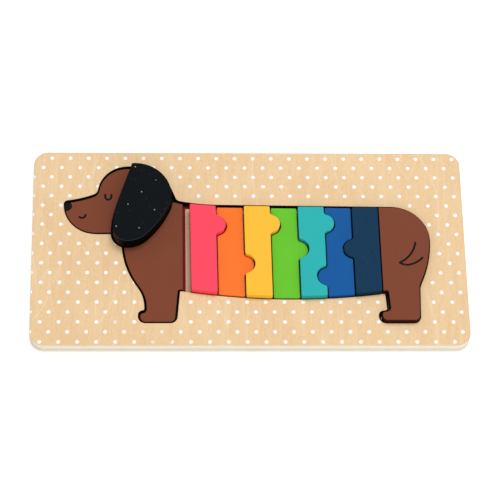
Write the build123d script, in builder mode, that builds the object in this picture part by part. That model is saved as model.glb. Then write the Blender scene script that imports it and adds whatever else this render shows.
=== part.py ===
from build123d import *
from math import cos, radians, sin, tan
import os

# A wooden inset puzzle: a long dog lying in a tray, cut into eleven loose pieces.
#
# The tray is two boards glued face to face. The top board is cut through to make
# the recess, and the bottom board is its floor. The dog is drawn once, as the edge
# of the recess, with X from the tip of its nose and Y up from its soles. Every loose
# piece is that outline drawn in by its play and parted along its seams.
# The model stands with its origin under the middle of the tray and +Z up.

# Boards
frame_thickness = 5.0       # top board of the tray, which the recess goes through
backing_thickness = 4.0     # bottom board of the tray
thin_board = 6.0            # face, chest, orange and green
middle_board = 7.5          # blue
thick_board = 9.0           # pink, yellow, teal, navy and haunch
ear_board = 15.0            # the ear is the grip for small hands
tray_corner = 10.0
tray_edge = 0.4             # eased top and bottom edge of the tray

# Wood left between the dog and the edges of the tray
nose_margin = 21.5
rump_margin = 24.0
crown_margin = 11.3
sole_margin = 17.2

# Fits
play = 1.5                  # from a piece to the wall of the recess, all round
kerf = 0.6                  # from a piece to its neighbour
slack = 4.8                 # length left free between the chest and the first slice
forward_rest = 1.0          # the pieces lie this far towards the soles
face_rest = 0.6             # the face also lies this far towards its nose
haunch_rest = 0.6           # and the haunch this far towards the rump
slice_lean = 0.6            # the slices lean this many degrees, their backs to the head

# Edges and corners
piece_edge = 0.4            # eased top edge of the loose pieces
recess_edge = 0.3           # eased top edge of the recess
slice_corner = 1.2          # corners of the slices, seen from above
point_corner = 0.7          # corners of the face, chest and haunch
recess_corner = 0.8         # inside corners of the recess
ear_corner = 2.2            # where the ear meets the crown
snap = 0.001                # ends of edges this near are one point
smooth_bend = 10.0          # edges that bend less than this run on smoothly

# Head, with its heights measured down from the crown
crown_height = 121.5
crown_front_x = 44.7        # where the forehead turns down from the crown
crown_length = 4.6          # straight part of the crown
forehead_radius = 21.2
brow_radius = 5.0
bridge_x = 11.5             # middle of the bridge of the nose
bridge_rise = 2.0           # above the tip of the nose
nose_drop = 27.4
nose_radius = 3.0
chin_drop = 53.5
muzzle_front = 3.3          # straight part, from the tip of the nose to the curve of the chin
head_back_radius = 27.0
head_back_turn = 68.0
nape_length = 11.0
nape_radius = 4.0

# Ear
ear_crown = 1.9             # straight part of the top of the ear
ear_length = 62.8
ear_tip_radius = 10.2
ear_side_radius = 70.0
ear_lean = 18.3
ear_shoulder_radius = 17.0
ear_curl_radius = 18.3      # behind the tip of the ear
ear_curl_turn = 44.0
throat_tuck = 6.2           # the throat lies under the ear, this far from its front
throat_rise = 1.3           # and from its lowest point

# Chest and front leg
chest_right = 82.6
chest_step = 2.1            # the chest runs past the back of the leg
chest_drop = 1.0            # its thin end behind the ear is cut off this far below the nape's bend
leg_taper = 2.2
front_toe = 51.9
front_instep = 4.3          # from the toe to the front of the leg
front_leg_straight = 2.0    # above the ankle
breast_radius = 27.0
breast_turn = 35.0
chest_belly_height = 24.3

# Slices, from the chest to the haunch
slice_width = 18.2
tab_radius = 6.8
tab_root = 2.4
tab_heights = [74.9, 44.6, 75.3, 56.2, 75.7, 35.0, 56.3]
# Each slice, the board it is cut from and what its tab points to
slices = [
    ("pink_slice", thick_board, "rump"),
    ("orange_slice", thin_board, "rump"),
    ("yellow_slice", thick_board, "rump"),
    ("green_slice", thin_board, "rump"),
    ("teal_slice", thick_board, "rump"),
    ("blue_slice", middle_board, "head"),
    ("navy_slice", thick_board, "head"),
]
back_height = 89.7          # at the haunch
shoulder_rise = 1.4         # above that, where the second slice starts
belly_height = 18.1         # at the fourth slice, its lowest

# Haunch and hind leg
rump_reach = 35.5           # from the last seam to the end of the dog
rump_radius = 26.5
thigh_radius = 80.0
thigh_turn = 26.0
hock_radius = 12.0
hind_heel = 25.9            # from the last seam to the heel
hind_step = 2.3             # from the last seam to the front of the leg
hind_toe = 2.7              # the toe reaches this far in front of the last seam
hind_instep = 6.0           # from the toe to the front of the leg
haunch_belly_height = 22.4

# Feet
toe_height = 8.8
ankle_rise = 1.0            # from the top of the toe to the leg
ankle_radius = 1.3
toe_radius = 3.3
toe_pad_radius = 5.0
heel_radius = 5.0

# Places that follow from the sizes above
pitch = slice_width + kerf
first_slice = chest_right + slack
last_seam = first_slice + len(slices) * pitch
dog_length = last_seam + rump_reach
tray_length = nose_margin + dog_length + rump_margin
tray_width = sole_margin + crown_height + crown_margin
nose_tip = (0, crown_height - nose_drop)
chin_height = crown_height - chin_drop
chin_radius = chin_drop - nose_drop - muzzle_front
head_back_x = crown_front_x + crown_length
ear_top = crown_height - play
ear_low = crown_height - ear_length
ear_side_turn = ear_side_radius * sin(radians(ear_lean))
ear_side_shift = ear_side_radius * (1 - cos(radians(ear_lean)))
ear_climb = ear_top - ear_low - ear_tip_radius - ear_side_turn
ear_left = head_back_x - ear_crown - ear_climb * tan(radians(ear_lean)) - ear_side_shift
ear_tip = (ear_left + ear_tip_radius, ear_low)
throat = (ear_left + throat_tuck, ear_tip[1] + throat_rise)
ankle_height = toe_height + ankle_rise
front_leg_back = chest_right - chest_step
front_ankle = front_toe + front_instep
under_belly = (ankle_height + belly_height) / 2


def dog_plane(height, rest=0.0):
    """The plane of the dog's outline at a height; rest draws it towards the soles."""
    nose_x = nose_margin - tray_length / 2
    sole_y = sole_margin - tray_width / 2
    return Plane(origin=(nose_x, sole_y - rest, height))


def foot(leg_back, heel, toe, ankle, leg_front):
    """The outline of a foot, from the back of the leg round to its front."""
    return FilletPolyline(
        leg_back, (heel, 0), (toe, 0), (toe, toe_height), (ankle, ankle_height), leg_front,
        radius=[heel_radius, toe_pad_radius, toe_radius, ankle_radius],
    )


def ease_corners(profile, radius):
    """Rounds the sketch being drawn where its edges meet at an angle, less beside a short edge."""
    for corner in [Vector(point) for point in profile.vertices()]:
        away, reach = [], []
        for edge in profile.edges():
            if (edge @ 0 - corner).length < snap:
                away.append(edge % 0)
                reach.append(edge.length)
            if (edge @ 1 - corner).length < snap:
                away.append((edge % 1) * -1)
                reach.append(edge.length)
        angle = away[0].get_angle(away[1])
        if angle < 180 - smooth_bend:
            room = min(reach) / 2 * tan(radians(angle / 2))
            fillet(profile.vertices().sort_by_distance(corner)[0], min(radius, room))


# The ear hangs from the crown past the throat, so it shapes the recess there
with BuildSketch() as ear_profile:
    with BuildLine():
        front = JernArc((ear_left, ear_tip[1] + ear_tip_radius), (0, 1), ear_side_radius, -ear_lean)
        Polyline(front @ 1, (head_back_x - ear_crown, ear_top), (head_back_x, ear_top))
        outer = JernArc((head_back_x, ear_top), (1, 0), head_back_radius - play, -90)
        curl = JernArc(ear_tip, (1, 0), ear_curl_radius, ear_curl_turn)
        # Between them the shoulder's arc runs on into one longer arc down the back
        shoulder_middle = outer @ 1 - Vector(ear_shoulder_radius, 0)
        span = curl @ 1 - shoulder_middle
        inward = (curl % 1).rotate(Axis.Z, 90)
        back_radius = (ear_shoulder_radius**2 - span.dot(span)) / 2 / (span.dot(inward) + ear_shoulder_radius)
        back_middle = curl @ 1 + inward * back_radius
        spoke = (shoulder_middle - back_middle).normalized()
        shoulder_end = back_middle + spoke * back_radius
        TangentArc(outer @ 1, shoulder_end, tangent=outer % 1)
        TangentArc(curl @ 1, shoulder_end, tangent=curl % 1)
        JernArc(ear_tip, (-1, 0), ear_tip_radius, -90)
    make_face()

# The dog's outline, clockwise from the tip of the nose
with BuildSketch() as dog_profile:
    with BuildLine():
        crown = Line((crown_front_x, crown_height), (head_back_x, crown_height))
        forehead = JernArc(crown @ 0, (-1, 0), forehead_radius, 90)
        ThreePointArc(forehead @ 1, (bridge_x, nose_tip[1] + bridge_rise), nose_tip)
        head_back = JernArc(crown @ 1, crown % 1, head_back_radius, -head_back_turn)
        nape = PolarLine(head_back @ 1, nape_length, direction=head_back % 1)
        shoulders = (first_slice + pitch, back_height + shoulder_rise)
        spine = Line(shoulders, (dog_length - rump_radius, back_height))
        TangentArc(shoulders, nape @ 1, tangent=(spine % 0) * -1)
        rump = JernArc(spine @ 1, spine % 1, rump_radius, -90)
        thigh = JernArc(rump @ 1, rump % 1, thigh_radius, -thigh_turn)
        hind_foot = foot(
            thigh @ 1, last_seam + hind_heel, last_seam - hind_toe, last_seam - hind_toe + hind_instep,
            (last_seam + hind_step, haunch_belly_height),
        )
        belly_middle = (first_slice + 3 * pitch, belly_height)
        belly = ThreePointArc(hind_foot @ 1, belly_middle, (front_leg_back, chest_belly_height))
        front_foot = foot(
            belly @ 1, front_leg_back - leg_taper, front_toe, front_ankle,
            (front_ankle, ankle_height + front_leg_straight),
        )
        breast = JernArc(front_foot @ 1, (0, 1), breast_radius, breast_turn)
        TangentArc(breast @ 1, throat, tangent=breast % 1)
        Polyline(throat, (throat[0], chin_height), (chin_radius, chin_height))
        chin = JernArc((chin_radius, chin_height), (-1, 0), chin_radius, -90)
        Line(chin @ 1, nose_tip)
    make_face()
    for bend, radius in [
        (nose_tip, nose_radius), (forehead @ 1, brow_radius),
        (nape @ 1, nape_radius), (thigh @ 1, hock_radius),
    ]:
        fillet(dog_profile.vertices().sort_by_distance(bend)[0], radius)

# The recess: the dog and, past the throat, the ear with its play
with BuildSketch() as ear_place:
    add(ear_profile.sketch)
    offset(amount=play, kind=Kind.ARC)

with BuildSketch() as recess_profile:
    add(dog_profile.sketch)
    add(ear_place.sketch)
    ease_corners(recess_profile, recess_corner)

# What the loose pieces share out, and the room that the ear takes from it
with BuildSketch() as pieces_profile:
    add(dog_profile.sketch)
    offset(amount=-play, kind=Kind.ARC)

with BuildSketch() as ear_room:
    add(ear_profile.sketch)
    offset(amount=kerf, kind=Kind.ARC)

with BuildSketch() as beside_ear:
    add(pieces_profile.sketch)
    add(ear_room.sketch, mode=Mode.SUBTRACT)

face_share, trunk_share = beside_ear.sketch.faces().sort_by(Axis.X)


def strip(left, right, bottom, top):
    """An upright strip of the board, to share the dog out by."""
    with BuildSketch() as band:
        with Locations((left, bottom)):
            Rectangle(right - left, top - bottom, align=(Align.MIN, Align.MIN))
    return band.sketch


def tab_block(index, side, height):
    """A slice's round tab on half its column, eased where it grows out."""
    middle = first_slice + index * pitch + slice_width / 2
    edge = middle + side * slice_width / 2
    reach = tab_radius + tab_root
    with BuildSketch() as block:
        add(strip(min(middle, edge), max(middle, edge), height - reach, height + reach))
        with Locations((edge, height)):
            Circle(tab_radius)
        fillet(block.vertices().filter_by_position(Axis.Y, height - tab_radius, height + tab_radius), tab_root)
    return block.sketch


# The slices' shares of the dog: columns with tabs, and with room for their neighbours' tabs
columns = []
for index in range(len(slices)):
    left = first_slice + index * pitch
    columns.append(strip(left, left + slice_width, under_belly, crown_height))

for index, (name, board, toward) in enumerate(slices):
    side = 1 if toward == "rump" else -1
    block = tab_block(index, side, tab_heights[index])
    with BuildSketch() as carried:
        add(columns[index])
        add(block)
    columns[index] = carried.sketch
    with BuildSketch() as room:
        add(block)
        offset(amount=kerf, kind=Kind.ARC)
    with BuildSketch() as notched:
        add(columns[index + side])
        add(room.sketch, mode=Mode.SUBTRACT)
    columns[index + side] = notched.sketch

os.makedirs("parts", exist_ok=True)

# Tray: the top board with its recess, and the bottom board
with BuildPart() as tray_frame:
    with BuildSketch(Plane.XY.offset(backing_thickness)):
        RectangleRounded(tray_length, tray_width, tray_corner)
    extrude(amount=frame_thickness)
    chamfer(tray_frame.faces().sort_by(Axis.Z)[-1].edges(), tray_edge)
    with BuildSketch(dog_plane(backing_thickness)):
        add(recess_profile.sketch)
    extrude(amount=frame_thickness, mode=Mode.SUBTRACT)
    chamfer(tray_frame.faces().sort_by(Axis.Z)[-1].inner_wires()[0].edges(), recess_edge)
tray_frame.part.label = "tray_frame"
export_step(tray_frame.part, "parts/tray_frame.step")

with BuildPart() as tray_backing:
    with BuildSketch(Plane.XY):
        RectangleRounded(tray_length, tray_width, tray_corner)
    extrude(amount=backing_thickness)
    chamfer(tray_backing.faces().sort_by(Axis.Z)[0].edges(), tray_edge)
tray_backing.part.label = "tray_backing"
export_step(tray_backing.part, "parts/tray_backing.step")

# The loose pieces stand on the bottom board, which is the recess's floor
resting_plane = dog_plane(backing_thickness, forward_rest)

with BuildSketch() as ear_cut:
    add(ear_profile.sketch)
    ease_corners(ear_cut, ear_corner)

with BuildPart() as ear:
    with BuildSketch(resting_plane):
        add(ear_cut.sketch)
    extrude(amount=ear_board)
    chamfer(ear.faces().sort_by(Axis.Z)[-1].edges(), piece_edge)
ear.part.label = "ear"
export_step(ear.part, "parts/ear.step")

with BuildSketch() as face_cut:
    add(face_share)
    ease_corners(face_cut, point_corner)

with BuildPart() as face:
    with BuildSketch(resting_plane), Locations((-face_rest, 0)):
        add(face_cut.sketch)
    extrude(amount=thin_board)
    chamfer(face.faces().sort_by(Axis.Z)[-1].edges(), piece_edge)
face.part.label = "face"
export_step(face.part, "parts/face.step")

with BuildSketch() as chest_cut:
    add(trunk_share)
    add(strip(0, chest_right, 0, (nape @ 1).Y - chest_drop), mode=Mode.INTERSECT)
    ease_corners(chest_cut, point_corner)

with BuildPart() as chest:
    with BuildSketch(resting_plane):
        add(chest_cut.sketch)
    extrude(amount=thin_board)
    chamfer(chest.faces().sort_by(Axis.Z)[-1].edges(), piece_edge)
chest.part.label = "chest"
export_step(chest.part, "parts/chest.step")

for index, (name, board, toward) in enumerate(slices):
    lean_axis = Axis((first_slice + index * pitch, back_height, 0), (0, 0, 1))
    with BuildSketch() as slice_cut:
        add(trunk_share)
        add(columns[index].rotate(lean_axis, slice_lean), mode=Mode.INTERSECT)
        ease_corners(slice_cut, slice_corner)
    with BuildPart() as piece:
        with BuildSketch(resting_plane):
            add(slice_cut.sketch)
        extrude(amount=board)
        chamfer(piece.faces().sort_by(Axis.Z)[-1].edges(), piece_edge)
    piece.part.label = name
    export_step(piece.part, f"parts/{name}.step")

# The haunch's front edge leans like the slices, and rests a kerf from the last of them
haunch_lean_axis = Axis((last_seam, back_height, 0), (0, 0, 1))
with BuildSketch() as haunch_strips:
    add(strip(last_seam - haunch_rest, dog_length, 0, crown_height).rotate(haunch_lean_axis, slice_lean))
    add(strip(last_seam - hind_toe, last_seam + hind_step, 0, under_belly))

with BuildSketch() as haunch_cut:
    add(pieces_profile.sketch)
    add(haunch_strips.sketch, mode=Mode.INTERSECT)
    ease_corners(haunch_cut, point_corner)

with BuildPart() as haunch:
    with BuildSketch(resting_plane), Locations((haunch_rest, 0)):
        add(haunch_cut.sketch)
    extrude(amount=thick_board)
    chamfer(haunch.faces().sort_by(Axis.Z)[-1].edges(), piece_edge)
haunch.part.label = "haunch"
export_step(haunch.part, "parts/haunch.step")
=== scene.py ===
from math import atan2, cos, hypot, pi, radians, sin

import bpy
from mathutils import Matrix, Vector

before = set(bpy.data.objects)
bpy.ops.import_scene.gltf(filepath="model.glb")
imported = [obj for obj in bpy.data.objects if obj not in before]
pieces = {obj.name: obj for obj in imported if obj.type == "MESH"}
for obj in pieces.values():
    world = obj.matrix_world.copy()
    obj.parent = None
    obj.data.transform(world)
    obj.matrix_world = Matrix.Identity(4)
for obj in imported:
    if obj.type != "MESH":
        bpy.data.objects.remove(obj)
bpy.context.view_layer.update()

# The finishes work in millimetres in the tray's own frame: x from the dog's nose to its rump,
# y from its soles to its back, z up, with the middle of the tray's underside at zero.

tray_top = 9.0
recess_floor = 4.0
half_length, half_width = 150.0, 75.0
outer_walls = 8.5       # a wall of the top board this near its edge is an outer one
wood_shine = 0.1        # the clear matt coat's


def paint_colour(red, green, blue):
    """A colour as a paint chart gives it, 0 to 255, as Blender's linear colour."""
    linear = [c / 255 / 12.92 if c <= 10 else ((c / 255 + 0.055) / 1.055) ** 2.4
              for c in (red, green, blue)]
    return (*linear, 1.0)


# The wood's own colours, and a painted highlight for the tray's front rim
honey = paint_colour(226, 187, 139)
straw = paint_colour(244, 215, 173)
cream = paint_colour(252, 232, 202)
# painted highlight: the lighter colour of the tray's front rim
front_rim_highlight = paint_colour(255, 249, 219)
rosy_wood = paint_colour(242, 197, 165)
dark_ply, pale_ply = paint_colour(238, 225, 199), paint_colour(250, 243, 227)
glue = paint_colour(150, 138, 120)

# Where the saw has burnt it, and painted shade for the recess and the seams
char_and_shade = paint_colour(13, 10, 9)
brown_char = paint_colour(46, 30, 22)
painted_side_shade = paint_colour(24, 15, 11)

# What is printed on it, what lies on it, and painted light on the ear
dot_white = paint_colour(253, 254, 252)
ink = paint_colour(5, 9, 12)
navy_ink = paint_colour(8, 22, 36)
speck, faint_speck = paint_colour(188, 178, 160), paint_colour(62, 62, 62)
# painted light on the ear: a highlight for its front rim, and the tray's reflection on its wall
ear_rim_highlight, ear_wall_reflection = paint_colour(84, 88, 90), paint_colour(74, 52, 42)
dust_grey = paint_colour(150, 140, 132)


# Shader maths

class Value:
    """One socket of a finish. Python's operators on it add its Math nodes."""

    def __init__(self, nodes, socket):
        self.nodes = nodes
        self.socket = socket

    def other(self, output):
        """Another output of the same node."""
        return Value(self.nodes, self.socket.node.outputs[output])

    def __add__(self, other):
        return self.nodes.maths("ADD", self, other)

    def __sub__(self, other):
        return self.nodes.maths("SUBTRACT", self, other)

    def __rsub__(self, other):
        return self.nodes.maths("SUBTRACT", other, self)

    def __mul__(self, other):
        return self.nodes.maths("MULTIPLY", self, other)

    def __truediv__(self, other):
        return self.nodes.maths("DIVIDE", self, other)

    def __mod__(self, other):
        return self.nodes.maths("FLOORED_MODULO", self, other)

    def __gt__(self, other):
        return self.nodes.maths("GREATER_THAN", self, other)

    def __abs__(self):
        return self.nodes.maths("ABSOLUTE", self)

    __radd__ = __add__
    __rmul__ = __mul__


class Nodes:
    """The nodes of one material, or of the studio round the puzzle."""

    def __init__(self, owner):
        self.owner = owner
        owner.use_nodes = True
        self.tree = owner.node_tree
        self.tree.nodes.clear()

    def node(self, kind, settings=None, inputs=None, output=0):
        """Adds a node: its settings first, then its sockets' values or links."""
        new = self.tree.nodes.new(kind)
        for setting, choice in (settings or {}).items():
            setattr(new, setting, choice)
        for name, value in (inputs or {}).items():
            if isinstance(value, Value):
                self.tree.links.new(value.socket, new.inputs[name])
            else:
                new.inputs[name].default_value = value
        return Value(self, new.outputs[output]) if new.outputs else None

    def maths(self, operation, *inputs):
        return self.node("ShaderNodeMath", {"operation": operation}, dict(enumerate(inputs)))

    def vectors(self, operation, *inputs, **named):
        return self.node("ShaderNodeVectorMath", {"operation": operation},
                         {**dict(enumerate(inputs)), **named})

    def parts(self, vector):
        split = self.node("ShaderNodeSeparateXYZ", {}, {0: vector})
        return split, split.other("Y"), split.other("Z")


class Finish(Nodes):
    """A surface finish: one material, with the place on the piece in millimetres."""

    def __init__(self, name):
        super().__init__(bpy.data.materials.new(name))
        metres = self.node("ShaderNodeTexCoord", output="Object")
        self.place = self.vectors("SCALE", metres, Scale=1000.0)
        self.x, self.y, self.z = self.parts(self.place)
        self.plan = self.vectors("MULTIPLY", self.place, (1.0, 1.0, 0.0))
        self.across, self.away, self.up = self.parts(metres.other("Normal"))

    def noise(self, across_x, across_y, across_z, detail=2.0, seed=0.0, lean=0.0):
        """Soft noise, 0 to 1, in patches about this many millimetres across."""
        turned = self.place
        if lean:
            turned = self.node("ShaderNodeVectorRotate", {"rotation_type": "Z_AXIS"},
                               {"Vector": self.place, "Angle": lean})
        stretched = self.vectors("DIVIDE", turned, (across_x, across_y, across_z))
        moved = self.vectors("ADD", stretched, (seed, seed, seed))
        return self.node("ShaderNodeTexNoise", {},
                         {"Vector": moved, "Scale": 1.0, "Detail": detail, "Roughness": 0.55})

    def surface(self, colour, roughness, relief, shine):
        """Ends the finish. Relief is the surface's height in millimetres."""
        bump = self.node("ShaderNodeBump", {}, {"Distance": 0.001, "Height": relief})
        coat = self.node("ShaderNodeBsdfPrincipled", {}, {
            "Base Color": colour, "Roughness": roughness, "Normal": bump,
            "Specular IOR Level": shine})
        self.node("ShaderNodeOutputMaterial", {}, {"Surface": coat})
        return self.owner


def ramp(value, start, end):
    """0 at start and 1 at end, smooth between them; start may be the larger."""
    low, high, first, last = (start, end, 0.0, 1.0) if start < end else (end, start, 1.0, 0.0)
    return value.nodes.node("ShaderNodeMapRange", {"interpolation_type": "SMOOTHSTEP"}, {
        "Value": value, "From Min": low, "From Max": high, "To Min": first, "To Max": last})


def smaller(a, b):
    return a.nodes.maths("MINIMUM", a, b)


def larger(a, b):
    return a.nodes.maths("MAXIMUM", a, b)


def covered(under, over, mask):
    """One colour laid over another where the mask is 1."""
    return mask.nodes.node("ShaderNodeMix", {"data_type": "RGBA"},
                           {0: mask, 6: under, 7: over}, output=2)


def distance(finish, x, y):
    """How far a place is from the upright through (x, y)."""
    return finish.vectors("DISTANCE", finish.plan, (x, y, 0.0)).other("Value")


def nearest(finish, places):
    """How far a place is from the nearest of several uprights."""
    found = distance(finish, *places[0])
    for place in places[1:]:
        found = smaller(found, distance(finish, *place))
    return found


# Printed lines

def circle_through(start, middle, end):
    """The middle and radius of the circle through three points."""
    (ax, ay), (bx, by), (cx, cy) = start, middle, end
    d = 2 * (ax * (by - cy) + bx * (cy - ay) + cx * (ay - by))
    x = ((ax**2 + ay**2) * (by - cy) + (bx**2 + by**2) * (cy - ay)
         + (cx**2 + cy**2) * (ay - by)) / d
    y = ((ax**2 + ay**2) * (cx - bx) + (bx**2 + by**2) * (ax - cx)
         + (cx**2 + cy**2) * (bx - ax)) / d
    return x, y, hypot(ax - x, ay - y)


def stroke(finish, start, middle, end, width, blur):
    """A line drawn as an arc through three points, with round ends: 1 on it, 0 off it."""
    x, y, radius = circle_through(start, middle, end)
    from_angle = atan2(start[1] - y, start[0] - x)
    to_middle = (atan2(middle[1] - y, middle[0] - x) - from_angle) % (2 * pi)
    to_end = (atan2(end[1] - y, end[0] - x) - from_angle) % (2 * pi)
    sweep = to_end if to_middle < to_end else to_end - 2 * pi
    aim = from_angle + sweep / 2
    from_centre = distance(finish, x, y)
    towards = finish.vectors("DOT_PRODUCT", finish.plan, (cos(aim), sin(aim), 0.0)).other("Value")
    on_arc = towards > from_centre * cos(sweep / 2) + (x * cos(aim) + y * sin(aim))
    ends = smaller(distance(finish, *start), distance(finish, *end))
    inner, outer = width / 2 - blur, width / 2 + blur
    return larger(ramp(abs(from_centre - radius), outer, inner) * on_arc,
                  ramp(ends, outer, inner))


def drawn(finish, strokes, width, blur):
    """Several strokes of one pen."""
    line = stroke(finish, *strokes[0], width, blur)
    for points in strokes[1:]:
        line = larger(line, stroke(finish, *points, width, blur))
    return line


# Plywood. Every line is an arc from its start through its middle to its end.

# Pale streaks in the top board's veneer
flares = [
    [(103.5, 74.6), (106.9, 64.0), (112.9, 54.0)],
    [(112.9, 54.0), (117.4, 64.0), (120.9, 74.6)],
    [(120.9, 74.6), (127.5, 59.0), (132.2, 43.5)],
    [(-89.2, -22.5), (-94.6, -42.5), (-104.5, -60.2)],
    [(-22.7, -40.1), (-19.1, -51.0), (-15.7, -61.0)],
    [(-13.9, -43.1), (-14.5, -51.0), (-15.4, -61.0)],
    [(-113.6, 59.1), (-116.3, 48.5), (-119.4, 37.0)],
    [(-138.3, -38.1), (-142.0, -47.0), (-148.0, -55.5)],
    [(61.4, 59.3), (63.4, 51.0), (64.8, 42.5)],
    [(133.8, 74.0), (133.5, 45.0), (131.9, 13.4)],
    [(45.4, 73.2), (46.0, 70.6), (46.5, 67.9)],
    [(48.9, 58.0), (50.2, 55.0), (51.4, 51.9)],
    [(58.6, 72.9), (59.4, 69.2), (60.0, 65.5)],
    [(82.6, 68.0), (83.4, 65.6), (84.0, 63.1)],
    [(77.7, 47.1), (78.7, 44.7), (79.6, 42.2)],
    [(-1.5, -46.4), (-2.3, -55.8), (-3.0, -69.4)],
    [(-79.0, -32.0), (-80.0, -46.5), (-81.2, -53.9)],
    [(-130.4, -14.8), (-132.8, -21.6), (-134.9, -27.9)],
    [(-139.0, -16.8), (-140.5, -20.4), (-141.9, -24.1)],
    [(-114.8, 0.4), (-113.7, -2.1), (-112.9, -4.6)],
    [(-112.9, -4.6), (-110.7, -2.0), (-108.2, 1.2)],
    [(-105.6, -43.4), (-105.5, -48.2), (-105.6, -53.0)],
    [(-104.3, 73.3), (-106.4, 66.0), (-108.2, 58.7)],
    [(-142.2, 73.2), (-142.7, 70.1), (-143.0, 66.9)],
]
flare_width, flare_blur, flare_strength = 0.6, 0.5, 0.42

growth_ring = 13.0      # its width, before it drifts and wobbles


def veneer(finish, seed=0.0):
    """Rotary-cut veneer with its fibres along y: its colour, and its relief in millimetres."""
    fibres = finish.noise(0.45, 14.0, 6.0, 3.0, seed)
    streaks = finish.noise(2.4, 38.0, 9.0, 3.0, seed + 5, lean=0.09)
    flecks = finish.noise(1.1, 3.2, 3.0, 3.0, seed + 12, lean=0.09)
    clouds = finish.noise(34.0, 60.0, 20.0, 2.0, seed + 9)
    drift = finish.noise(58.0, 230.0, 60.0, 1.0, seed + 2) * 5.2
    wobble = finish.noise(15.0, 85.0, 30.0, 2.0, seed + 4) * 0.7
    rings = finish.maths("FRACT", finish.x / growth_ring + drift + wobble)
    growth = ramp(rings, 0.86, 0.98) * ramp(rings, 1.0, 0.98)
    fading = ramp(finish.noise(21.0, 48.0, 20.0, 2.0, seed + 7), 0.40, 0.66)
    tone = (0.52 + (streaks - 0.5) * 0.42 + (fibres - 0.5) * 0.22 + (flecks - 0.5) * 0.55
            + (clouds - 0.5) * 0.5 + (rings - 0.5) * 0.06)
    colour = covered(honey, straw, ramp(tone, 0.0, 1.0))
    colour = covered(colour, cream, growth * fading * 0.26)
    return colour, fibres * 0.02 + streaks * 0.01


def sawn_plies(finish, glue_lines, seed=0.0):
    """The sawn edge of a board: pale plies dotted with end grain, and glue between them.

    A glue line is its height, its half width, and how dark it is from 0 to 1."""
    pores = finish.noise(0.5, 0.5, 0.35, 3.0, seed)
    lengthways = finish.noise(9.0, 9.0, 0.25, 2.0, seed + 3)
    colour = covered(dark_ply, pale_ply, ramp(pores * 0.5 + lengthways * 0.5, 0.32, 0.62))
    for height, width, strength in glue_lines:
        waver = (finish.noise(14.0, 14.0, 8.0, 2.0, seed + height) - 0.5) * 0.35
        line = ramp(abs(finish.z - height + waver), width, width * 0.35)
        colour = covered(colour, glue, line * strength)
    return colour, pores * 0.05


boards_joint = (recess_floor, 0.34, 1.0)        # the glue line between the tray's two boards

# The printed dots: rows and places along them, every second row shifted
dot_radius, dot_blur = 1.33, 0.07
row_spacing, lowest_row = 7.48, -71.93
dot_spacing, first_dot = 12.81, -143.184
odd_row_shift = 0.4633      # in dot spacings
bare_reach = 2.0            # how far the wood stays bare round a dot that isn't printed

# Dots that are not printed, as the recess would cut them, and the row of them along the back
left_out_dots = [
    (119.0, 25.3), (-111.6, 40.3), (-47.6, 40.3), (-53.5, 47.8), (-47.6, -34.5), (-47.6, -49.5),
    (119.0, -49.5), (119.0, -34.5), (125.8, -12.1), (125.8, 2.9), (-111.6, 10.3), (-98.8, 10.3),
    (-66.3, -57.0), (-53.5, -57.0), (100.2, -57.0), (113.0, -57.0)]
back_row, back_row_middle, back_row_reach = 32.8, 31.0, 76.0

scuffed_dots = [(-66.3, -71.9), (-53.5, -71.9), (-73.2, -64.5), (-60.4, -64.5), (-91.9, -57.0)]
scuff_reach = 3.0


def printed_dots(finish):
    """The white dots, some of them scuffed: 1 on them."""
    row = finish.maths("ROUND", (finish.y - lowest_row) / row_spacing)
    column = (finish.x - first_dot) / dot_spacing - (row % 2.0) * odd_row_shift
    off_row = finish.y - lowest_row - row * row_spacing
    off_column = (column - finish.maths("ROUND", column)) * dot_spacing
    from_dot = finish.maths("SQRT", off_row * off_row + off_column * off_column)
    ragged = (finish.noise(0.5, 0.5, 5.0, 2.0, 21) - 0.5) * 0.22
    dots = ramp(from_dot + ragged, dot_radius + dot_blur, dot_radius - dot_blur)

    along_back = larger(abs(finish.x - back_row_middle) - back_row_reach,
                        abs(finish.y - back_row))
    left_out = smaller(along_back, nearest(finish, left_out_dots))
    thin_and_reflected = ramp(finish.noise(0.9, 0.7, 5.0, 3.0, 30), 0.42, 0.52)
    scuffed = scuff_reach - nearest(finish, scuffed_dots) > 0.0
    return dots * (left_out > bare_reach) * (1.0 - thin_and_reflected * scuffed * 0.8)


def tray_finish():
    """The tray's top board: veneer printed with white dots, pale plies round it, burnt recess."""
    finish = Finish("dotted tray plywood")
    wood, grain = veneer(finish)
    streaks = drawn(finish, flares, flare_width, flare_blur) * flare_strength
    wood = covered(wood, cream, streaks)
    dots = printed_dots(finish)
    printed = covered(wood, dot_white, dots)

    plies, sawn = sawn_plies(finish, [
        (tray_top - 1.3, 0.10, 0.35), (recess_floor + 1.5, 0.10, 0.35), boards_joint])
    outer_x, outer_y = half_length - outer_walls, half_width - outer_walls
    outside = larger(ramp(abs(finish.x), outer_x - 0.5, outer_x + 0.5),
                     ramp(abs(finish.y), outer_y - 0.5, outer_y + 0.5))
    soot = finish.noise(0.7, 0.7, 6.0, 3.0, 12)
    burnt = covered(char_and_shade, brown_char, ramp(soot, 0.55, 0.85))
    side = covered(burnt, plies, outside)
    # painted highlight: the outer chamfer that faces the front is lighter, as where light falls
    # on it
    front = ramp(finish.away, -0.2, -0.5)
    eased_edge = covered(wood, front_rim_highlight, front * outside)
    rim = covered(side, eased_edge, ramp(finish.up, 0.30, 0.55))
    top = ramp(finish.up, 0.86, 0.97)
    colour = covered(rim, printed, top)
    roughness = 0.62 + dots * top * -0.10 + (grain - 0.015) * 4.0
    relief = top * (grain + dots * 0.02) + (1.0 - top) * sawn
    return finish.surface(colour, roughness, relief, wood_shine)
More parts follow.
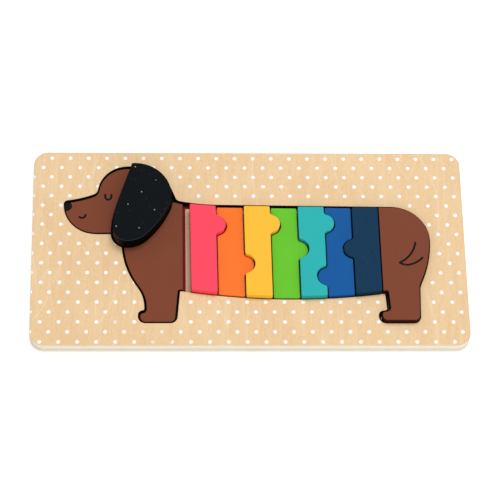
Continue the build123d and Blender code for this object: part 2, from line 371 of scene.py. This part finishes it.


# The recess's floor, with painted shade along the recess's edge and round the ear's place, where
# the narrow gaps are dark.
recess_edges = [
    [(-79.2, 63.7), (-81.5, 63.72), (-83.8, 63.7)],
    [(-83.8, 63.7), (-97.8, 58.4), (-104.8, 45.3)],
    [(-104.8, 45.3), (-105.8, 42.8), (-107.9, 41.3)],
    [(-107.9, 41.3), (-116.8, 38.4), (-125.9, 36.6)],
    [(-125.9, 36.6), (-127.8, 35.6), (-128.5, 33.6)],
    [(-128.5, 33.0), (-121.8, 16.9), (-105.7, 10.2)],
    [(-105.7, 10.2), (-101.0, 10.22), (-96.4, 10.2)],
    [(-96.0, 9.9), (-93.3, 3.9), (-88.4, 0.2)],
    [(-87.9, -0.4), (-84.6, -16.2), (-77.2, -30.5)],
    [(-77.2, -30.5), (-73.6, -37.9), (-72.3, -46.5)],
    [(-73.3, -48.2), (-75.9, -49.6), (-76.6, -52.2)],
    [(-76.6, -52.8), (-75.1, -56.3), (-71.6, -57.8)],
    [(-71.6, -57.8), (-63.2, -57.82), (-54.8, -57.8)],
    [(-54.8, -57.8), (-51.4, -56.5), (-49.8, -53.3)],
    [(-49.8, -53.3), (-48.92, -43.8), (-48.0, -34.0)],
    [(-47.6, -33.7), (22.3, -39.9), (92.4, -35.6)],
    [(92.9, -36.3), (93.32, -41.5), (93.7, -46.8)],
    [(92.6, -48.2), (89.4, -49.1), (87.8, -51.8)],
    [(87.8, -52.8), (89.3, -56.3), (92.8, -57.8)],
    [(92.8, -57.8), (102.2, -57.82), (111.5, -57.8)],
    [(111.5, -57.8), (115.0, -56.4), (116.5, -52.9)],
    [(116.5, -52.9), (116.85, -42.7), (117.1, -32.4)],
    [(117.1, -32.4), (117.4, -30.0), (118.2, -27.7)],
    [(118.2, -27.7), (123.7, -11.7), (125.7, 5.1)],
    [(125.7, 5.1), (118.2, 23.9), (99.5, 31.9)],
    [(99.5, 31.9), (38.6, 32.65), (-22.3, 33.3)],
    [(-22.3, 33.3), (-35.2, 34.1), (-48.0, 36.2)],
    [(-48.0, 36.2), (-49.7, 37.0), (-50.8, 38.6)],
    [(-50.8, 38.6), (-52.45, 42.7), (-54.2, 46.8)],
    [(-54.2, 46.8), (-64.1, 59.1), (-79.2, 63.7)],
]
ear_edges = [
    [(-79.2, 61.2), (-61.2, 53.7), (-53.7, 35.7)],
    [(-53.7, 35.7), (-54.0, 32.4), (-54.9, 29.3)],
    [(-54.9, 29.3), (-61.9, 16.3), (-71.4, 5.0)],
    [(-71.4, 5.0), (-77.2, 1.2), (-84.1, -0.1)],
    [(-84.1, -0.1), (-91.3, 2.9), (-94.3, 10.1)],
    [(-94.3, 10.1), (-93.4, 21.2), (-90.7, 32.1)],
    [(-90.7, 32.1), (-86.1, 46.2), (-81.4, 60.3)],
]
recess_shade_width, recess_shade_blur = 3.8, 0.45

# The strip of bare floor in the room beside the slices, which the painted shade leaves out
strip_middle, strip_half_width, strip_end = -44.0, 3.2, 34.75

# The guide outlines printed on the floor, one round each slice's place, from the chest to the
# haunch. The first is printed wider than the others.
guide_colours = [
    paint_colour(136, 26, 36), paint_colour(196, 70, 20), paint_colour(205, 140, 30),
    paint_colour(60, 130, 35), paint_colour(25, 120, 120), paint_colour(25, 65, 125),
    paint_colour(20, 40, 62)]
first_guide, guide_length, guide_gap = -46.4, 18.9, 0.6
guides_low, guides_high = -40.0, 34.9
first_band, other_bands = 2.5, 1.6
print_blur = 0.08


def floor_finish():
    """The tray's lower board: bare pale veneer with painted shade along the recess's edge, and
    the slices' places outlined on it.
    """
    finish = Finish("bare backing plywood")
    wood, grain = veneer(finish, 40.0)
    wood = covered(wood, rosy_wood, finish.noise(1.0, 60.0, 9.0, 2.0, 71) * 0.9)
    plies, sawn = sawn_plies(finish, [(2.7, 0.10, 0.5), (1.25, 0.10, 0.6), boards_joint], 7.0)
    side = ramp(abs(finish.up), 0.7, 0.5)
    on_floor = ramp(finish.z, recess_floor - 0.2, recess_floor - 0.1)

    off_middle = abs(finish.x - strip_middle)
    strip = (ramp(off_middle, strip_half_width + 0.2, strip_half_width - 0.2)
             * ramp(finish.y, strip_end + 0.15, strip_end - 0.15))
    # painted shade: a dark band on the floor along the recess's edge and round the ear's place,
    # left out in the strip
    recess_shade = drawn(finish, recess_edges + ear_edges, recess_shade_width, recess_shade_blur)
    colour = covered(wood, char_and_shade, recess_shade * (1.0 - strip) * on_floor)

    left, band_width = first_guide, first_band
    for guide_colour in guide_colours:
        right = left + guide_length
        inside = smaller(smaller(finish.x - left, right - finish.x),
                         smaller(guides_high - finish.y, finish.y - guides_low))
        band = (ramp(inside, -print_blur, print_blur)
                * ramp(inside, band_width, band_width - 2 * print_blur))
        colour = covered(colour, guide_colour, band * on_floor)
        left, band_width = right + guide_gap, other_bands
    colour = covered(colour, plies, side)
    relief = (1.0 - side) * grain + side * sawn
    return finish.surface(colour, 0.7, relief, wood_shine)


# Paint

def paint_finish(name, top_chart, side_chart, shine, print_on=None, dusty=0.14):
    """Satin paint on plywood: grain and plies just show through, and the underside is bare.

    Top and side are colours of the paint chart. The side is darkened low down and in the seams:
    painted shade.
    print_on lays a piece's own print, wear and painted light over the paint."""
    finish = Finish(name)
    top = ramp(finish.up, 0.35, 0.75)
    under = ramp(finish.up, -0.5, -0.8)

    grain = finish.noise(0.6, 16.0, 7.0, 3.0, 3)
    peel = finish.noise(1.6, 1.6, 1.6, 2.0, 8)
    clouds = finish.noise(13.0, 17.0, 9.0, 2.0, 14)
    layers = finish.noise(14.0, 14.0, 0.45, 2.0, 17)
    shade = 1.0 + (clouds - 0.5) * 0.09 + (peel - 0.5) * 0.06 + (grain - 0.5) * 0.05
    # painted shade: the side darkens below the tray's top, inside the recess, and on walls that
    # face into the seams between slices
    recess_shade = ramp(finish.z + (layers - 0.5) * 0.5, tray_top + 0.3, tray_top - 0.7)
    seam_shade = ramp(abs(finish.across), 0.75, 0.93)
    side = covered(paint_colour(*side_chart), painted_side_shade, larger(recess_shade * 0.85, seam_shade * 0.7))
    painted = covered(side, paint_colour(*top_chart), top)
    painted = finish.vectors("SCALE", painted, Scale=shade)
    if print_on:
        painted = print_on(finish, painted, top)

    specks = finish.node("ShaderNodeTexVoronoi", {"voronoi_dimensions": "2D"},
                         {"Vector": finish.place, "Scale": 0.28})
    chance = finish.parts(specks.other("Color"))[0]
    dust = ramp(specks, 0.09, 0.04) * ramp(chance, 0.62, 0.70) * top
    painted = covered(painted, dust_grey, dust * dusty)

    bare_wood = veneer(finish, 60.0)[0]
    colour = covered(painted, bare_wood, under)
    relief = peel * 0.012 + grain * 0.006 + (1.0 - top) * layers * 0.03 + dust * 0.02
    roughness = 0.48 + (peel - 0.5) * 0.12 + under * 0.2
    return finish.surface(colour, roughness, relief, shine)


closed_eye = [
    [(-99.75, 38.7), (-97.65, 36.6), (-95.55, 38.7)],
    [(-99.75, 38.7), (-99.8, 39.6), (-99.75, 40.5)],
    [(-95.55, 38.7), (-95.5, 39.6), (-95.55, 40.5)],
]
smile = [[(-117.45, 22.95), (-115.2, 22.3), (-113.25, 24.65)]]
tail = [
    [(114.9, 1.75), (111.2, -7.1), (103.45, -13.6)],
    [(103.45, -13.6), (106.1, -14.95), (109.3, -15.3)],
    [(109.3, -15.3), (114.5, -13.55), (119.4, -9.8)],
]
pen_width, pen_blur = 1.5, 0.14
nose_tip, nose_radius, nose_blur = (-126.6, 31.5), 3.875, 0.075


def dog_print(finish, painted, top):
    """What is printed on the brown pieces: nose, closed eye and smile, and the curled tail."""
    lines = drawn(finish, closed_eye + smile + tail, pen_width, pen_blur)
    nose = ramp(distance(finish, *nose_tip), nose_radius + nose_blur, nose_radius - nose_blur)
    return covered(painted, ink, larger(lines, nose) * top)


ear_specks = [
    (-78.85, 57.9), (-74.4, 38.1), (-83.8, 28.3), (-65.5, 24.05), (-91.8, 11.15), (-76.05, 9.9)]
small_ear_speck, smaller_by = (-64.5, 47.35), 0.12
faint_ear_specks = [
    (-74.6, 55.1), (-68.9, 52.2), (-64.1, 53.2), (-81.5, 48.6), (-79.0, 48.1), (-62.0, 45.5),
    (-66.4, 44.3), (-71.0, 32.8), (-68.7, 26.6), (-91.0, 21.8), (-82.7, 23.2), (-57.1, 29.7),
    (-58.8, 24.5), (-61.3, 20.2), (-73.4, 14.1)]
speck_edge, faint_edge = (0.50, 0.28), (0.40, 0.15)     # how far out a speck ends and is full
reflection_patch, reflection_edge = (-93.0, 7.0), (9.5, 5.0)        # where the tray's reflection is painted on the wall


def ear_print(finish, painted, top):
    """Small pale dots on the ear; painted light: a grey highlight on its front rim and the tray's
    reflection low on its wall.
    """
    near = smaller(distance(finish, *small_ear_speck) + smaller_by, nearest(finish, ear_specks))
    painted = covered(painted, speck, ramp(near, *speck_edge) * top)
    faint = nearest(finish, faint_ear_specks)
    painted = covered(painted, faint_speck, ramp(faint, *faint_edge) * top)

    # painted highlight: the ear's front rim is lighter grey, as where light catches it
    on_rim = ramp(finish.up, 0.96, 0.88) * ramp(finish.up, 0.40, 0.60)
    in_front = ramp(finish.away, -0.10, -0.35)
    painted = covered(painted, ear_rim_highlight, on_rim * in_front * 0.6)

    # painted reflection of the tray: a brownish patch low on the ear's wall
    blotches = ramp(finish.noise(1.2, 1.2, 0.8, 3.0, 51), 0.38, 0.62)
    thin_and_reflected = ramp(distance(finish, *reflection_patch), *reflection_edge) * blotches
    on_wall = ramp(finish.up, 0.35, 0.15) * ramp(finish.z, tray_top, tray_top + 2.0)
    return covered(painted, ear_wall_reflection, thin_and_reflected * on_wall * 0.55)


navy_scuffs = [
    [(84.0, -4.6), (84.5, -5.0), (84.9, -5.6)],
    [(77.0, -13.2), (77.8, -13.4), (78.4, -13.9)],
]


def navy_print(finish, painted, top):
    """Two short dark scuffs on the navy slice."""
    scuffs = drawn(finish, navy_scuffs, width=0.4, blur=0.15)
    return covered(painted, navy_ink, scuffs * top * 0.8)


brown = paint_finish("brown dog paint", (125, 67, 46), (52, 16, 11), 0.05, dog_print, 0.22)
finishes = {
    "tray_frame": tray_finish(),
    "tray_backing": floor_finish(),
    "face": brown,
    "ear": paint_finish("black ear paint", (14, 18, 22), (8, 6, 6), 0.02, ear_print, 0.03),
    "chest": brown,
    "pink_slice": paint_finish("pink paint", (254, 73, 97), (255, 76, 84), 0.07),
    "orange_slice": paint_finish("orange paint", (255, 121, 42), (244, 96, 34), 0.07),
    "yellow_slice": paint_finish("yellow paint", (254, 192, 56), (255, 190, 48), 0.07),
    "green_slice": paint_finish("green paint", (104, 198, 44), (90, 182, 38), 0.07),
    "teal_slice": paint_finish("teal paint", (42, 178, 178), (42, 162, 156), 0.07),
    "blue_slice": paint_finish("blue paint", (17, 89, 157), (18, 66, 124), 0.05),
    "navy_slice": paint_finish("navy paint", (18, 55, 83), (16, 48, 66), 0.03, navy_print),
    "haunch": brown,
}


weld_gap = 0.00002      # metres
flat_angle, crisp_angle = radians(0.5), radians(60)


def soften(piece):
    """Shades a piece's eased top edges as rounded, and keeps its sawn edges crisp."""
    piece.data.shade_smooth()
    piece.modifiers.new("weld", "WELD").merge_threshold = weld_gap
    flats = piece.modifiers.new("flats", "DECIMATE")
    flats.decimate_type = "DISSOLVE"
    flats.angle_limit = flat_angle
    piece.modifiers.new("crisp", "EDGE_SPLIT").split_angle = crisp_angle
    piece.modifiers.new("rounded", "WEIGHTED_NORMAL").weight = 80


for name, piece in pieces.items():
    piece.material_slots[0].material = finishes[name]
    soften(piece)


# Floor, light and camera. From here on places are in metres.

white = (1.0, 1.0, 1.0, 1.0)
paper_grey = (0.9, 0.9, 0.9, 1.0)
paper_lift = 0.38       # what a camera sees on top of the paper's own brightness
sky_brightness = 0.58   # as a light, where 1 is white to look at
floor_reach = 3.0


def looked_at(nodes):
    """1 where a camera, or a mirror or glass in front of it, looks at the studio."""
    ray = nodes.node("ShaderNodeLightPath", output="Is Camera Ray")
    return larger(larger(ray, ray.other("Is Glossy Ray")), ray.other("Is Transmission Ray"))


def floor_material():
    """White floor: a camera sees it lifted to white, and it keeps the puzzle's soft shadow."""
    nodes = Nodes(bpy.data.materials.new("studio floor"))
    paper = nodes.node("ShaderNodeBsdfDiffuse", {}, {"Color": paper_grey})
    lift = nodes.node("ShaderNodeEmission", {}, {"Color": white, "Strength": paper_lift})
    lit = nodes.node("ShaderNodeAddShader", {}, {0: paper, 1: lift})
    shown = nodes.node("ShaderNodeMixShader", {}, {0: looked_at(nodes), 1: paper, 2: lit})
    nodes.node("ShaderNodeOutputMaterial", {}, {"Surface": shown})
    return nodes.owner


def studio_sky():
    """The studio round the puzzle: white to look at, dimmer as a light."""
    nodes = Nodes(bpy.data.worlds.new("studio"))
    strength = sky_brightness + looked_at(nodes) * (1.0 - sky_brightness)
    air = nodes.node("ShaderNodeBackground", {}, {"Color": white, "Strength": strength})
    nodes.node("ShaderNodeOutputWorld", {}, {"Surface": air})
    return nodes.owner


scene = bpy.context.scene
scene.world = studio_sky()
scene.view_settings.view_transform = "Standard"

floor_mesh = bpy.data.meshes.new("studio_floor")
floor_corners = [(x * floor_reach, y * floor_reach, 0.0)
                 for x, y in ((-1, -1), (1, -1), (1, 1), (-1, 1))]
floor_mesh.from_pydata(floor_corners, [], [(0, 1, 2, 3)])
floor_mesh.materials.append(floor_material())
floor = bpy.data.objects.new("studio_floor", floor_mesh)
scene.collection.objects.link(floor)


def softbox(name, place, size, energy):
    """A round studio lamp with a soft front, aimed at the puzzle."""
    lamp = bpy.data.lights.new(name, "AREA")
    lamp.shape = "DISK"
    lamp.size = size
    lamp.energy = energy
    box = bpy.data.objects.new(name, lamp)
    aim = Vector(place).to_track_quat("Z", "Y").to_matrix().to_4x4()
    box.matrix_world = Matrix.Translation(place) @ aim
    box.visible_camera = False
    scene.collection.objects.link(box)


softbox("softbox_behind", (0.35, 1.0, 2.3), size=1.4, energy=28.0)
softbox("softbox_before", (0.4, -1.3, 0.45), size=1.0, energy=5.2)

# The camera stands where the photograph was taken from
camera_place = (-0.06733, -0.72401, 1.42361)
heading, tilt, roll = radians(-5.367), radians(27.140), radians(4.869)

lens = bpy.data.cameras.new("camera")
lens.sensor_width, lens.lens = 36.0, 165.6      # millimetres
lens.clip_start, lens.clip_end = 0.05, 20.0
camera = bpy.data.objects.new("camera", lens)
camera.matrix_world = (Matrix.Translation(camera_place) @ Matrix.Rotation(heading, 4, "Z")
                       @ Matrix.Rotation(tilt, 4, "X") @ Matrix.Rotation(roll, 4, "Z"))
scene.collection.objects.link(camera)
scene.camera = camera
